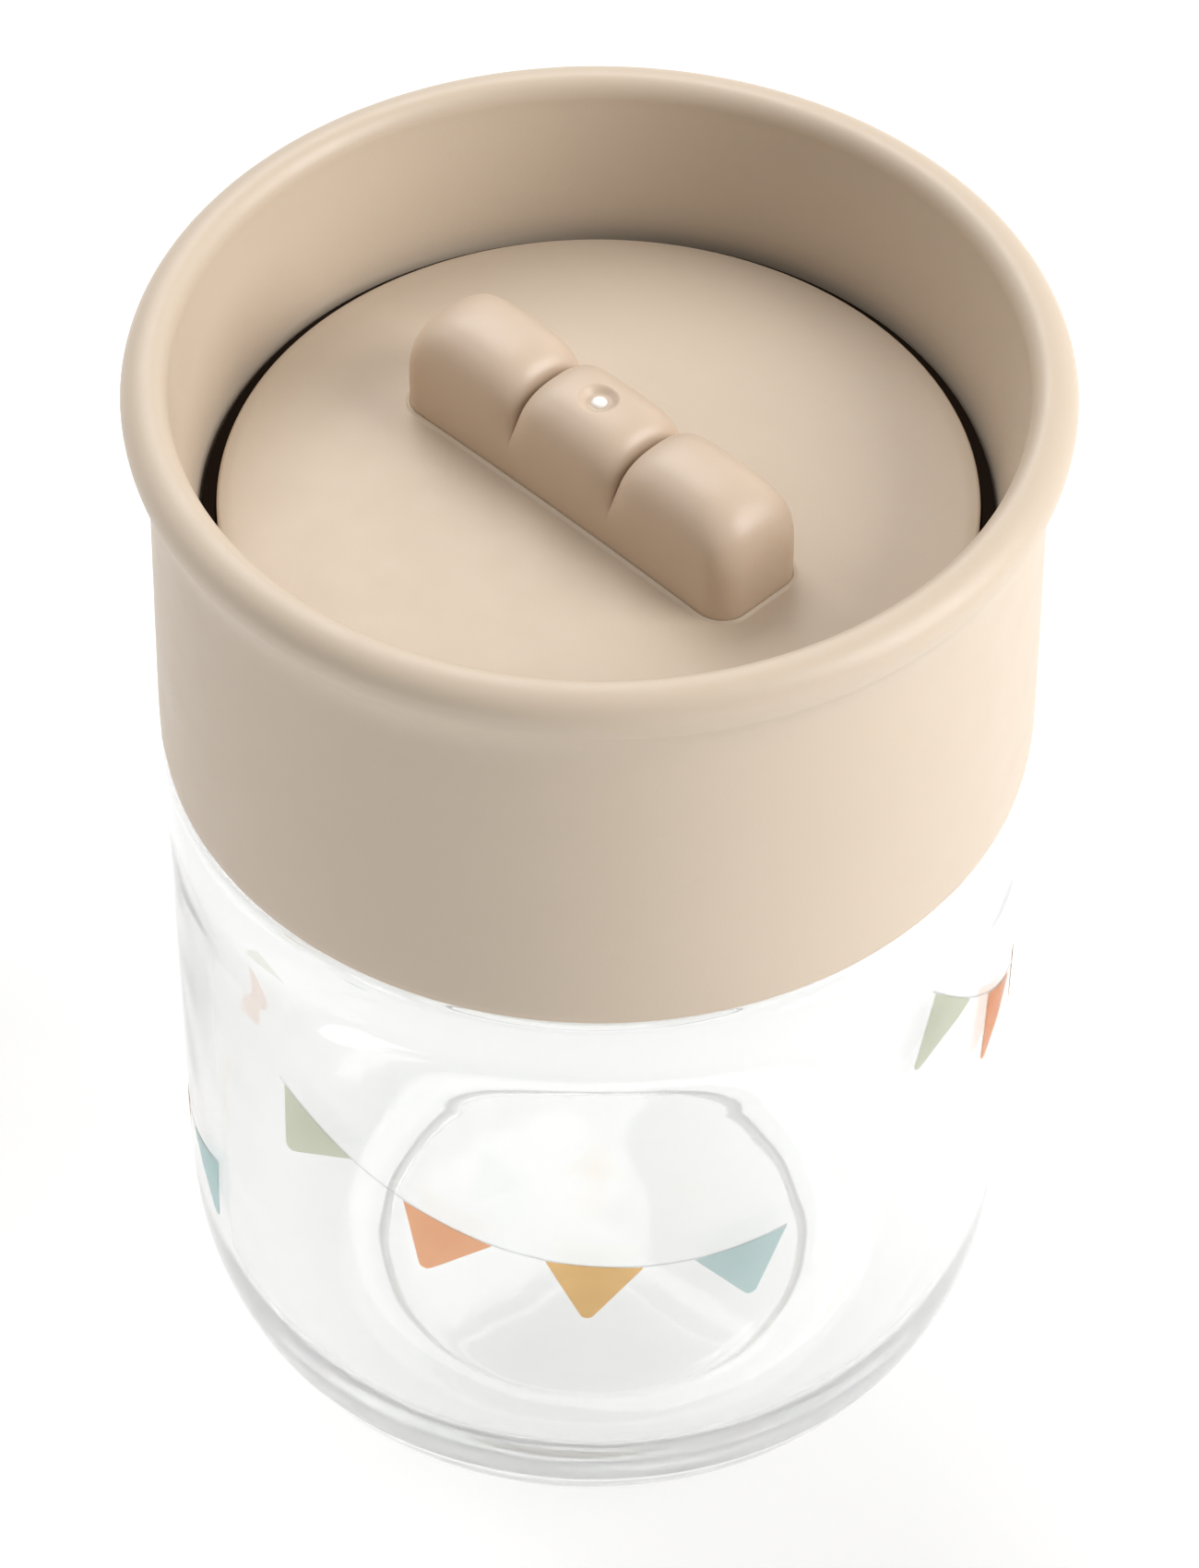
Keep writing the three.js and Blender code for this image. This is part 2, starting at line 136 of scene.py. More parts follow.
# ---------------------------------------------------------------- mesh helpers
def piece_from(name, verts, faces, material, body, replaced, sharp=38):
    """A smooth-shaded mesh object that rides on a body and stands for CAD nodes."""
    mesh = bpy.data.meshes.new(name)
    mesh.from_pydata(verts, [], faces)
    bm = bmesh.new()
    bm.from_mesh(mesh)
    bmesh.ops.remove_doubles(bm, verts=bm.verts, dist=1e-7)
    bmesh.ops.recalc_face_normals(bm, faces=bm.faces)
    bm.to_mesh(mesh)
    bm.free()
    mesh.shade_smooth()
    mesh.set_sharp_from_angle(angle=math.radians(sharp))
    mesh.materials.append(material)
    obj = bpy.data.objects.new(name, mesh)
    bpy.context.scene.collection.objects.link(obj)
    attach(obj, body)
    if replaced:
        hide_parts(*replaced)


def bridged(rows, count, closed=False):
    """Faces between neighbouring rows of that many vertices each, and from the last row to the first."""
    faces = []
    for i in range(rows if closed else rows - 1):
        n = (i + 1) % rows
        for k in range(count):
            m = (k + 1) % count
            faces.append([i * count + k, i * count + m, n * count + m, n * count + k])
    return faces


def rounded(points):
    """An outline in the r-z half plane with its corners rounded: points are (r, z, corner radius)."""
    steps = 6
    out = []
    count = len(points)
    for i, (r, z, radius) in enumerate(points):
        here = Vector((r, z))
        before = Vector(points[i - 1][:2])
        after = Vector(points[(i + 1) % count][:2])
        to_before, to_after = (before - here), (after - here)
        open_end = i in (0, count - 1) and r < 1e-9
        if radius <= 0 or open_end or to_before.length < 1e-9 or to_after.length < 1e-9:
            out.append((r, z))
            continue
        u, v = to_before.normalized(), to_after.normalized()
        angle = math.acos(max(-1, min(1, u.dot(v))))
        if angle > math.radians(178):
            out.append((r, z))
            continue
        reach = min(radius / math.tan(angle / 2), 0.48 * to_before.length, 0.48 * to_after.length)
        fillet = reach * math.tan(angle / 2)
        centre = here + (u + v).normalized() * (fillet / math.sin(angle / 2))
        start, end = here + u * reach - centre, here + v * reach - centre
        a0 = math.atan2(start.y, start.x)
        sweep = math.atan2(end.y, end.x) - a0
        sweep = (sweep + math.pi) % TURN - math.pi
        for k in range(steps + 1):
            a = a0 + sweep * k / steps
            out.append((centre.x + fillet * math.cos(a), centre.y + fillet * math.sin(a)))
    return out


def refined(line, longest):
    """The same line with its long stretches cut up, so that no edge is longer than that."""
    out = []
    for a, b in zip(line, line[1:]):
        cuts = max(1, math.ceil(math.dist(a, b) / longest))
        for k in range(cuts):
            t = k / cuts
            out.append((a[0] + (b[0] - a[0]) * t, a[1] + (b[1] - a[1]) * t))
    out.append(line[-1])
    return out


def turned(outline, segments=SEGMENTS, ridge=None):
    """Vertices and faces of a turned body. The outline closes on itself, or starts and ends on the axis.
    ridge(angle, r, z) gives how far a point stands out from the plain turned form."""
    closed = outline[0][0] > 1e-9 or outline[-1][0] > 1e-9
    verts, faces, rows = [], [], []
    for r, z in outline:
        if r < 1e-9:
            rows.append([len(verts)] * segments)
            verts.append((0, 0, z))
            continue
        row = []
        for k in range(segments):
            a = TURN * k / segments
            out = r + (ridge(a, r, z) if ridge else 0)
            row.append(len(verts))
            verts.append((out * math.cos(a), out * math.sin(a), z))
        rows.append(row)
    for i in range(len(rows) if closed else len(rows) - 1):
        low, high = rows[i], rows[(i + 1) % len(rows)]
        for k in range(segments):
            n = (k + 1) % segments
            face = [low[k], low[n], high[n], high[k]]
            face = [v for j, v in enumerate(face) if v != face[j - 1]]
            if len(face) > 2:
                faces.append(face)
    return verts, faces


def superellipse_corner(in_r, out_r, low, top, steps):
    """Points up a bowl's rounded corner, from its flat foot to its straight wall."""
    points = []
    for k in range(steps + 1):
        a = math.pi / 2 * k / steps
        across = math.sin(a) ** (2 / CORNER_POWER)
        down = math.cos(a) ** (2 / CORNER_POWER)
        points.append((in_r + (out_r - in_r) * across, top - (top - low) * down))
    return points


def arc(centre, radii, start, end, steps):
    """Points on an ellipse's arc in the r-z half plane, angles in degrees."""
    points = []
    for k in range(steps + 1):
        a = math.radians(start + (end - start) * k / steps)
        points.append((centre[0] + radii[0] * math.cos(a), centre[1] + radii[1] * math.sin(a)))
    return points


def catmull_rom(a, b, c, d, t):
    """The value at a share of the way from b to c, with a before them and d after them."""
    first = (c - a) * t
    second = (2 * a - 5 * b + 4 * c - d) * t * t
    third = (3 * b - a - 3 * c + d) * t ** 3
    return 0.5 * (2 * b + first + second + third)


def smooth_through(points, steps):
    """A Catmull-Rom curve through points in the r-z half plane."""
    ends = [points[0]] + list(points) + [points[-1]]
    out = []
    for i in range(len(points) - 1):
        a, b, c, d = ends[i : i + 4]
        for k in range(steps):
            out.append(tuple(catmull_rom(a[j], b[j], c[j], d[j], k / steps) for j in (0, 1)))
    out.append(tuple(points[-1]))
    return out


def smoothstep(low, high, x):
    """0 up to low, 1 from high on, and a smooth rise between them."""
    t = max(0.0, min(1.0, (x - low) / (high - low)))
    return t * t * (3 - 2 * t)


# ---------------------------------------------------------------- materials
GRAIN_DEEP = 0.03 * MM  # of the fine bump on the matte plastics and the silicone


def new_material(name):
    """A material with nodes, and its node tree and Principled shader."""
    material = bpy.data.materials.new(name)
    material.use_nodes = True
    tree = material.node_tree
    shader = next(n for n in tree.nodes if n.type == "BSDF_PRINCIPLED")
    return material, tree, shader


def object_noise(tree, scale, detail, rough=0.55):
    place = tree.nodes.new("ShaderNodeTexCoord")
    noise = tree.nodes.new("ShaderNodeTexNoise")
    noise.inputs["Scale"].default_value = scale
    noise.inputs["Detail"].default_value = detail
    noise.inputs["Roughness"].default_value = rough
    tree.links.new(place.outputs["Object"], noise.inputs["Vector"])
    return noise


def ranged(tree, value, low, high):
    """A value's middle range, stretched to run from low to high."""
    spread = tree.nodes.new("ShaderNodeMapRange")
    spread.inputs["From Min"].default_value = 0.3
    spread.inputs["From Max"].default_value = 0.7
    spread.inputs["To Min"].default_value = low
    spread.inputs["To Max"].default_value = high
    tree.links.new(value, spread.inputs["Value"])
    return spread.outputs["Result"]


def mixed_colour(tree, factor, first, second):
    mix = tree.nodes.new("ShaderNodeMix")
    mix.data_type = "RGBA"
    mix.inputs["A"].default_value = (*first, 1)
    mix.inputs["B"].default_value = (*second, 1)
    tree.links.new(factor, mix.inputs["Factor"])
    return mix.outputs["Result"]


def add_bump(tree, shader, height, strength, distance):
    bump = tree.nodes.new("ShaderNodeBump")
    bump.inputs["Strength"].default_value = strength
    bump.inputs["Distance"].default_value = distance
    tree.links.new(height, bump.inputs["Height"])
    tree.links.new(bump.outputs["Normal"], shader.inputs["Normal"])


def moulded_plastic(name, colour, roughness, bleed=0.12):
    """Matte moulded polypropylene: a slightly cloudy colour, a fine spark-eroded grain, a little depth."""
    material, tree, shader = new_material(name)
    spread = 0.03
    cloud = object_noise(tree, 55, 5)
    darker = tuple(c * (1 - spread) for c in colour)
    lighter = tuple(min(1, c * (1 + spread)) for c in colour)
    tree.links.new(mixed_colour(tree, cloud.outputs["Fac"], darker, lighter), shader.inputs["Base Color"])
    flow = object_noise(tree, 240, 3)
    uneven = ranged(tree, flow.outputs["Fac"], roughness - 0.04, roughness + 0.05)
    tree.links.new(uneven, shader.inputs["Roughness"])
    fine = object_noise(tree, 5200, 2, 0.6)
    add_bump(tree, shader, fine.outputs["Fac"], 0.35, GRAIN_DEEP)
    shader.inputs["IOR"].default_value = 1.49
    shader.inputs["Subsurface Weight"].default_value = bleed
    shader.inputs["Subsurface Radius"].default_value = (1.0, 0.62, 0.4)
    shader.inputs["Subsurface Scale"].default_value = 1.6 * MM
    return material


def silicone(name, colour, bleed=0.35, sheen=0.08, gloss=0.5):
    """Silicone: soft and slightly cloudy, by default milky with a faint dusty sheen."""
    material, tree, shader = new_material(name)
    cloud = object_noise(tree, 140, 4)
    darker = tuple(c * 0.95 for c in colour)
    tree.links.new(mixed_colour(tree, cloud.outputs["Fac"], darker, colour), shader.inputs["Base Color"])
    tree.links.new(ranged(tree, cloud.outputs["Fac"], 0.48, 0.62), shader.inputs["Roughness"])
    fine = object_noise(tree, 3800, 2)
    add_bump(tree, shader, fine.outputs["Fac"], 0.3, GRAIN_DEEP)
    shader.inputs["IOR"].default_value = 1.41
    shader.inputs["Subsurface Weight"].default_value = bleed
    shader.inputs["Subsurface Radius"].default_value = (1.0, 0.9, 0.75)
    shader.inputs["Subsurface Scale"].default_value = 2 * MM
    shader.inputs["Sheen Weight"].default_value = sheen
    shader.inputs["Specular IOR Level"].default_value = gloss
    return material


def clear_plastic(name):
    """Clear copolyester: the eye's rays are refracted, and shadow and diffuse rays go straight through."""
    material, tree, shader = new_material(name)
    shader.inputs["Base Color"].default_value = (0.932, 0.937, 0.934, 1)
    shader.inputs["IOR"].default_value = 1.5
    shader.inputs["Transmission Weight"].default_value = 0.87
    haze = object_noise(tree, 90, 3)
    tree.links.new(ranged(tree, haze.outputs["Fac"], 0.012, 0.035), shader.inputs["Roughness"])
    swell = object_noise(tree, 38, 2)
    add_bump(tree, shader, swell.outputs["Fac"], 0.25, 0.6 * MM)
    path = tree.nodes.new("ShaderNodeLightPath")
    either = tree.nodes.new("ShaderNodeMath")
    either.operation = "MAXIMUM"
    tree.links.new(path.outputs["Is Shadow Ray"], either.inputs[0])
    tree.links.new(path.outputs["Is Diffuse Ray"], either.inputs[1])
    through = tree.nodes.new("ShaderNodeBsdfTransparent")
    through.inputs["Color"].default_value = (0.965, 0.967, 0.965, 1)
    mix = tree.nodes.new("ShaderNodeMixShader")
    out = next(n for n in tree.nodes if n.type == "OUTPUT_MATERIAL")
    tree.links.new(either.outputs[0], mix.inputs["Fac"])
    tree.links.new(shader.outputs[0], mix.inputs[1])
    tree.links.new(through.outputs[0], mix.inputs[2])
    tree.links.new(mix.outputs[0], out.inputs["Surface"])
    return material


def ink(name, colour):
    """Screen-printed ink that tints what shows through it, with a hand-pulled print's slight mottling."""
    material, tree, shader = new_material(name)
    mottle = object_noise(tree, 900, 3)
    darker = tuple(c * 0.95 for c in colour)
    tree.links.new(mixed_colour(tree, mottle.outputs["Fac"], darker, colour), shader.inputs["Base Color"])
    tree.links.new(ranged(tree, mottle.outputs["Fac"], 0.08, 0.14), shader.inputs["Roughness"])
    shader.inputs["Transmission Weight"].default_value = 0.92
    shader.inputs["IOR"].default_value = 1.03
    return material


def floor_material():
    material, tree, shader = new_material("pale_floor")
    cloud = object_noise(tree, 3, 4)
    colour = mixed_colour(tree, cloud.outputs["Fac"], (0.965, 0.965, 0.965), (0.98, 0.98, 0.98))
    tree.links.new(colour, shader.inputs["Base Color"])
    shader.inputs["Roughness"].default_value = 0.9
    return material


BEIGE = (0.57, 0.47, 0.365)
COLLAR_PLASTIC = moulded_plastic("collar_plastic", BEIGE, 0.42)
DISC_PLASTIC = moulded_plastic("disc_plastic", BEIGE, 0.46)
GRIP_PLASTIC = moulded_plastic("grip_plastic", (0.56, 0.44, 0.335), 0.4, bleed=0.2)
CARRIER_PLASTIC = moulded_plastic("carrier_plastic", BEIGE, 0.45)
WHITE_PLASTIC = moulded_plastic("white_plastic", (0.9, 0.88, 0.83), 0.3)
SILICONE = silicone("milky_silicone", (0.8, 0.78, 0.73))
# Near-black seal: painted shade for the deep gap round the disc; the seal's own colour isn't known.
SEAL_PAINTED_SHADE = silicone("seal_painted_shade", (0.014, 0.008, 0.005), bleed=0, sheen=0, gloss=0.05)
CLEAR = clear_plastic("clear_wall_plastic")
SAGE = ink("sage_ink", (0.83, 0.85, 0.71))
CORAL = ink("coral_ink", (1.0, 0.56, 0.345))
AMBER = ink("amber_ink", (1.0, 0.67, 0.32))
TEAL = ink("teal_ink", (0.71, 0.87, 0.87))
STRING = ink("string_ink", (0.91, 0.92, 0.91))


# ---------------------------------------------------------------- cup body
def neck_thread(angle, r, z):
    """How far the neck's three-start thread stands out at a point of the neck."""
    if abs(r - NECK_OUT_R) > ON_FACE:
        return 0
    return thread_height(angle, z, THREAD_LOW, THREAD_SHARE, 0.95 * MM)


def thread_height(angle, z, low, share, root_half):
    """Height of a three-start thread that starts at low, with starts that last that share of a turn."""
    best = 0.0
    for start in range(THREAD_STARTS):
        along = (angle / TURN - start / THREAD_STARTS) % 1.0
        if along > share:
            continue
        off = abs(z - (low + along * THREAD_LEAD))
        flank = max(0.0, min(1.0, (root_half - off) / (root_half - CREST_HALF)))
        ends = smoothstep(0, 0.045, along) * smoothstep(0, 0.045, share - along)
        best = max(best, flank * ends)
    return best * THREAD_DEPTH


def make_cup():
    """The tumbler, turned from one closed outline: up the outside, over the lip and down the inside."""
    underside = smooth_through(
        [
            (0, 2.8 * MM),
            (9 * MM, 2.5 * MM),
            (16 * MM, 1.85 * MM),
            (18.6 * MM, 1.25 * MM),
            (FOOT_IN_R, 0.25 * MM),
        ],
        8,
    )
    foot = rounded([(FOOT_IN_R + 0.25 * MM, 0, 0), (FOOT_OUT_R, 0, 0)])
    corner = superellipse_corner(FOOT_OUT_R, LOW_WALL_R, 0, LOW_WALL_Z, CORNER_STEPS)
    wall = smooth_through(
        [
            (LOW_WALL_R, LOW_WALL_Z),
            (WALL_R - 0.2 * MM, 44 * MM),
            (WALL_R - 0.04 * MM, SHOULDER - 6 * MM),
        ],
        12,
    )
    outer = 1.2 * MM
    shoulder = arc((WALL_R - outer, SHOULDER - outer), (outer, outer), 0, 90, 12)
    root = 0.7 * MM
    neck_root = arc((NECK_OUT_R + root, SHOULDER + root), (root, root), 270, 180, 8)
    neck = refined([(NECK_OUT_R, SHOULDER + 0.9 * MM), (NECK_OUT_R, NECK_TOP - 0.7 * MM)], 0.25 * MM)
    edge = 0.6 * MM
    lip = arc((NECK_OUT_R - edge, NECK_TOP - edge), (edge, edge), 0, 90, 6)
    lip += arc((NECK_IN_R + edge, NECK_TOP - edge), (edge, edge), 90, 180, 6)
    inside = smooth_through(
        [
            (NECK_IN_R, NECK_TOP - 3 * MM),
            (NECK_IN_R, SHOULDER + 1.5 * MM),
            (NECK_IN_R + 0.5 * MM, SHOULDER - 1.6 * MM),
            (WALL_R - WALL - 1.0 * MM, SHOULDER - 4.4 * MM),
            (WALL_R - WALL - 0.1 * MM, SHOULDER - 8 * MM),
            (WALL_R - WALL - 0.1 * MM, SHOULDER - 14 * MM),
        ],
        8,
    )
    floor_r, floor_z = 20 * MM, 5.0 * MM  # edge of the inside's floor
    inner_corner = superellipse_corner(floor_r, LOW_WALL_R - WALL, floor_z, LOW_WALL_Z, CORNER_STEPS)
    floor = smooth_through(
        [(floor_r, floor_z), (12 * MM, 5.25 * MM), (6 * MM, 5.5 * MM), (0, 5.6 * MM)],
        8,
    )
    outline = underside + foot + corner[1:] + wall[1:] + shoulder + neck_root + neck + lip
    outline += inside + inner_corner[::-1] + floor[1:]
    verts, faces = turned(outline, ridge=neck_thread)
    piece_from("tumbler", verts, faces, CLEAR, "cup", ["cup_body"], sharp=60)


# ---------------------------------------------------------------- collar
def collar_lug(angle, r, z):
    """How far the skirt's three lugs stand in, towards the neck."""
    if abs(r - SKIRT_IN_R) > ON_FACE:
        return 0
    low = THREAD_LOW - 1.5 * MM + LUG_TURN_IN * THREAD_LEAD
    return -thread_height(angle - LUG_TURN_IN * TURN, z, low, LUG_SHARE, 0.8 * MM)


def make_collar():
    """The collar, turned from one closed outline: up the outside, over the rim and down the inside."""
    low = COLLAR_BOTTOM
    roll = RIM_R - CREST_R
    start = -math.asin((RIM_WIDE_Z - FLARE_TOP_Z) / ROLL_UNDER)
    reach = CREST_R + roll * math.cos(start) - WAIST_R
    outside = smooth_through(
        [(HEM_R - 0.08 * MM, low + 0.35 * MM), (HEM_R, low + 3.7 * MM), (WAIST_R, WAIST_Z)],
        12,
    )
    for k in range(FLARE_STEPS + 1):
        z = FLARE_LOW_Z + (FLARE_TOP_Z - FLARE_LOW_Z) * k / FLARE_STEPS
        outside.append((WAIST_R + reach * (k / FLARE_STEPS) ** FLARE_POWER, z))
    outside += arc((CREST_R, RIM_WIDE_Z), (roll, ROLL_UNDER), math.degrees(start), 0, 10)[1:]
    outside += arc((CREST_R, RIM_WIDE_Z), (roll, RIM_TOP - RIM_WIDE_Z), 0, 90, 16)[1:]
    outside += arc((CREST_R, LIP_IN_Z), (CREST_R - LIP_IN_R, RIM_TOP - LIP_IN_Z), 90, 180, 16)[1:]
    well_drop = SEAL_LOW.z + 0.8 * MM - LIP_IN_Z
    for k in range(1, FLARE_STEPS + 1):
        r = LIP_IN_R + (WELL_R - LIP_IN_R) * k / FLARE_STEPS
        outside.append((r, LIP_IN_Z + well_drop * k / FLARE_STEPS))
    outside.append((WELL_R - 0.15 * MM, SEAL_LOW.z + 0.2 * MM))
    seat = SEAL_LOW.z - 0.3 * MM
    web_low = seat - 1.6 * MM
    lower = rounded(
        [
            (WELL_R - 0.2 * MM, seat, 0.25 * MM),
            (WEB_IN_R, seat, 0.4 * MM),
            (WEB_IN_R, web_low, 0.4 * MM),
            (SKIRT_IN_R, web_low, 0.3 * MM),
            (SKIRT_IN_R, web_low - 1 * MM, 0),
        ]
    )
    skirt = refined([(SKIRT_IN_R, web_low - 1.5 * MM), (SKIRT_IN_R, low + 0.6 * MM)], 0.3 * MM)
    hem = rounded(
        [
            (SKIRT_IN_R, low + 0.5 * MM, 0),
            (SKIRT_IN_R + 0.2 * MM, low, 0.3 * MM),
            (HEM_R - 0.12 * MM, low, 0.45 * MM),
            (HEM_R - 0.09 * MM, low + 0.3 * MM, 0),
        ]
    )[1:-1]
    verts, faces = turned(outside + lower + skirt + hem, ridge=collar_lug)
    piece_from(
        "rim_collar", verts, faces, COLLAR_PLASTIC, "rim_collar", ["collar"], sharp=50
    )


# ---------------------------------------------------------------- valve unit
def disc_top(r):
    """Height of the domed disc's top at a radius."""
    return DISC_EDGE + DISC_CROWN * (1 - (r / DISC_R) ** 2)


def slot_outline(grow, count):
    """Points round the grip's rounded-rectangle footprint, grown by a margin, at even steps of its length."""
    half_x, half_y = GRIP_LONG / 2 + grow, GRIP_WIDE / 2 + grow
    radius = GRIP_PLAN_R + grow
    straight_x, straight_y = half_x - radius, half_y - radius
    quarter = math.pi / 2 * radius
    length = 4 * straight_x + 4 * straight_y + 4 * quarter

    def corner(side_x, side_y, a):
        return side_x * straight_x + radius * math.cos(a), side_y * straight_y + radius * math.sin(a)

    walk = [
        (straight_y, lambda t: (half_x, t)),
        (quarter, lambda t: corner(1, 1, t / radius)),
        (2 * straight_x, lambda t: (straight_x - t, half_y)),
        (quarter, lambda t: corner(-1, 1, math.pi / 2 + t / radius)),
        (2 * straight_y, lambda t: (-half_x, straight_y - t)),
        (quarter, lambda t: corner(-1, -1, math.pi + t / radius)),
        (2 * straight_x, lambda t: (-straight_x + t, -half_y)),
        (quarter, lambda t: corner(1, -1, 3 * math.pi / 2 + t / radius)),
        (straight_y, lambda t: (half_x, -straight_y + t)),
    ]
    points = []
    for k in range(count):
        s = length * k / count
        for reach, place in walk:
            if s <= reach:
                points.append(place(s))
                break
            s -= reach
        else:
            points.append((half_x, 0))
    return points


def make_disc():
    """The domed disc: rings that change from the slot's outline to the round rim, then round under it."""
    count = 320
    rows = []

    def slot_ring(grow, lift):
        rows.append([(x, y, disc_top(math.hypot(x, y)) + lift) for x, y in slot_outline(grow, count)])

    start = slot_outline(0.5 * MM, count)

    def ring(blend, radius, z_of):
        row = []
        for x, y in start:
            a = math.atan2(y, x)
            px = x + (radius * math.cos(a) - x) * blend
            py = y + (radius * math.sin(a) - y) * blend
            row.append((px, py, z_of(math.hypot(px, py))))
        rows.append(row)

    under = 1.1 * MM  # the disc's thickness
    edge = 0.3 * MM  # radius of its rounded edge
    thin_r = 28.5 * MM  # inside of the thicker ring at its edge
    slot_ring(-0.15 * MM, -under)
    slot_ring(-0.1 * MM, -0.3 * MM)
    slot_ring(-0.02 * MM, 0.12 * MM)
    slot_ring(0.06 * MM, 0.19 * MM)
    slot_ring(0.15 * MM, 0.2 * MM)
    slot_ring(0.23 * MM, 0.15 * MM)
    slot_ring(0.29 * MM, 0.04 * MM)
    slot_ring(0.36 * MM, 0.0)
    ring(0, DISC_R, disc_top)
    for k in range(1, DISC_RINGS + 1):
        ring((k / DISC_RINGS) ** 1.1, DISC_R - edge, disc_top)
    for k in range(1, 7):
        a = math.pi / 2 * k / 6
        ring(1, DISC_R - edge + edge * math.sin(a), lambda r, a=a: DISC_EDGE - edge * (1 - math.cos(a)))
    ring(1, DISC_R, lambda r: DISC_LOW.z + 0.2 * MM)
    ring(1, DISC_R - 0.06 * MM, lambda r: DISC_LOW.z + 0.06 * MM)
    ring(1, DISC_R - 0.2 * MM, lambda r: DISC_LOW.z)
    ring(1, 29.45 * MM, lambda r: DISC_LOW.z)
    ring(1, 29.3 * MM, lambda r: DISC_LOW.z + 0.15 * MM)
    ring(1, 29.0 * MM, lambda r: disc_top(r) - under - 0.2 * MM)
    ring(1, thin_r, lambda r: disc_top(r) - under)
    for k in range(1, 10):
        ring(1 - k / 10, thin_r, lambda r: disc_top(r) - under)
    verts = [v for row in rows for v in row]
    faces = bridged(len(rows), count, closed=True)
    piece_from("valve_disc", verts, faces, DISC_PLASTIC, "valve_unit", ["disc_cover"])


LOBE_POWER = 3.8  # fullness of a lobe towards a crease
END_POWER = 2.5  # fullness of an end lobe towards the grip's end
CROWN_POWER = 2.5  # fullness of a lobe across the grip
GRIP_SHOULDER = 4.9 * MM  # where the straight side walls start to round over
END_LOBE_TOP = GRIP_TOP - DISC_EDGE - 0.2 * MM
MIDDLE_LOBE_TOP = GRIP_TOP - DISC_EDGE - 0.45 * MM
END_RIDGE_LOW = 4.8 * MM  # the ridge's height at the grip's ends
CREASE_RIDGE_LOW = 5.7 * MM  # and at the creases
END_DRAWN_IN = 0.7 * MM  # how far each side is drawn in at the grip's ends
CREASE_DRAWN_IN = 1.35 * MM  # and at the creases
DRAW_START = 0.45  # share of a lobe's half length that keeps its full width
DRAW_POWER = 2.4
DISH_R = 1.75 * MM  # the vent's recess
DISH_FLAT_R = 0.9 * MM
DISH_DEEP = 0.6 * MM
# Middle, half length and height of each lobe.
LOBES = [
    (-(CREASE_AT + GRIP_LONG / 2) / 2, (GRIP_LONG / 2 - CREASE_AT) / 2, END_LOBE_TOP),
    (0.0, CREASE_AT, MIDDLE_LOBE_TOP),
    ((CREASE_AT + GRIP_LONG / 2) / 2, (GRIP_LONG / 2 - CREASE_AT) / 2, END_LOBE_TOP),
]


def lobe_ridge(u):
    """Height of the grip's ridge above the disc's edge, and how far its sides are drawn in there."""
    middle, reach, top = LOBES[1]
    if abs(u) > CREASE_AT:
        middle, reach, top = LOBES[0] if u < 0 else LOBES[2]
    off = min(1.0, abs(u - middle) / reach)
    at_end = abs(u) > abs(middle) > 0
    low = END_RIDGE_LOW if at_end else CREASE_RIDGE_LOW
    power = END_POWER if at_end else LOBE_POWER
    rise = (1 - off ** power) ** (1 / power)
    turn_in = max(0.0, (off - DRAW_START) / (1 - DRAW_START))
    most_drawn = END_DRAWN_IN if at_end else CREASE_DRAWN_IN
    drawn_in = most_drawn * (1 - (1 - turn_in ** DRAW_POWER) ** (1 / DRAW_POWER))
    return low + (top - low) * rise, drawn_in


def grip_half_width(u):
    """Half the grip's width at a place along it, which its rounded corners make less at its ends."""
    past = max(0.0, abs(u) - (GRIP_LONG / 2 - GRIP_PLAN_R))
    return GRIP_WIDE / 2 - GRIP_PLAN_R + math.sqrt(max(0.0, GRIP_PLAN_R ** 2 - past ** 2))


def grip_stations():
    """Places along the grip, closer together at the ends, the creases and the vent."""
    places = set()
    steps = 26
    for lobe in LOBES:
        middle, length = lobe[:2]
        for side in (-1, 1):
            for k in range(steps + 1):
                reach = math.sin(math.pi / 2 * k / steps) ** (2 / END_POWER) * length
                places.add(middle + side * reach)
    places |= {side * k * 0.11 * MM for side in (-1, 1) for k in range(24)}
    kept = []
    for place in sorted(places):
        if not kept or place - kept[-1] > 0.012 * MM:
            kept.append(place)
    return kept


def grip_section(u):
    """One side of the grip's outline across it at a place: (across, height) from its foot up to its ridge."""
    ridge, drawn_in = lobe_ridge(u)
    half = grip_half_width(u)
    shoulder = min(GRIP_SHOULDER, ridge - 0.4 * MM)
    foot = GRIP_FOOT + 0.85 * MM - DISC_EDGE
    points = [(half, foot + (shoulder - foot) * k / 12) for k in range(12)]
    steps = 26
    shares = {math.cos(math.pi / 2 * k / steps) ** (2 / CROWN_POWER) for k in range(steps)}
    shares |= {k / 36 for k in range(19)}
    for share in sorted(shares, reverse=True):
        rise = (1 - min(1.0, share) ** CROWN_POWER) ** (1 / CROWN_POWER)
        points.append((half * share, shoulder + (ridge - shoulder) * rise))
    out = []
    for y, z in points:
        pinch = drawn_in * smoothstep(3.6 * MM, 7.2 * MM, z)
        y = y - pinch * y / half
        dish = 1 - smoothstep(DISH_FLAT_R, DISH_R, math.hypot(u, y)) if z > 7 * MM else 0.0
        out.append((y, DISC_EDGE + z - DISH_DEEP * dish))
    return out


def make_grip():
    """The three lobes, lofted along the grip, with the flange and the stem under them."""
    rings = []
    for u in grip_stations():
        side = [(u, y, z) for y, z in grip_section(u)]
        rings.append(side + [(x, -y, z) for x, y, z in side[:-1]][::-1])
    count = len(rings[0])
    verts = [v for ring in rings for v in ring]
    faces = bridged(len(rings), count)
    last = (len(rings) - 1) * count
    faces.append(list(range(count)))
    faces.append([last + k for k in range(count)][::-1])
    piece_from(
        "grip_lobes", verts, faces, GRIP_PLASTIC, "valve_unit", ["finger_grip"], sharp=50
    )
    make_grip_foot()
    make_stem()


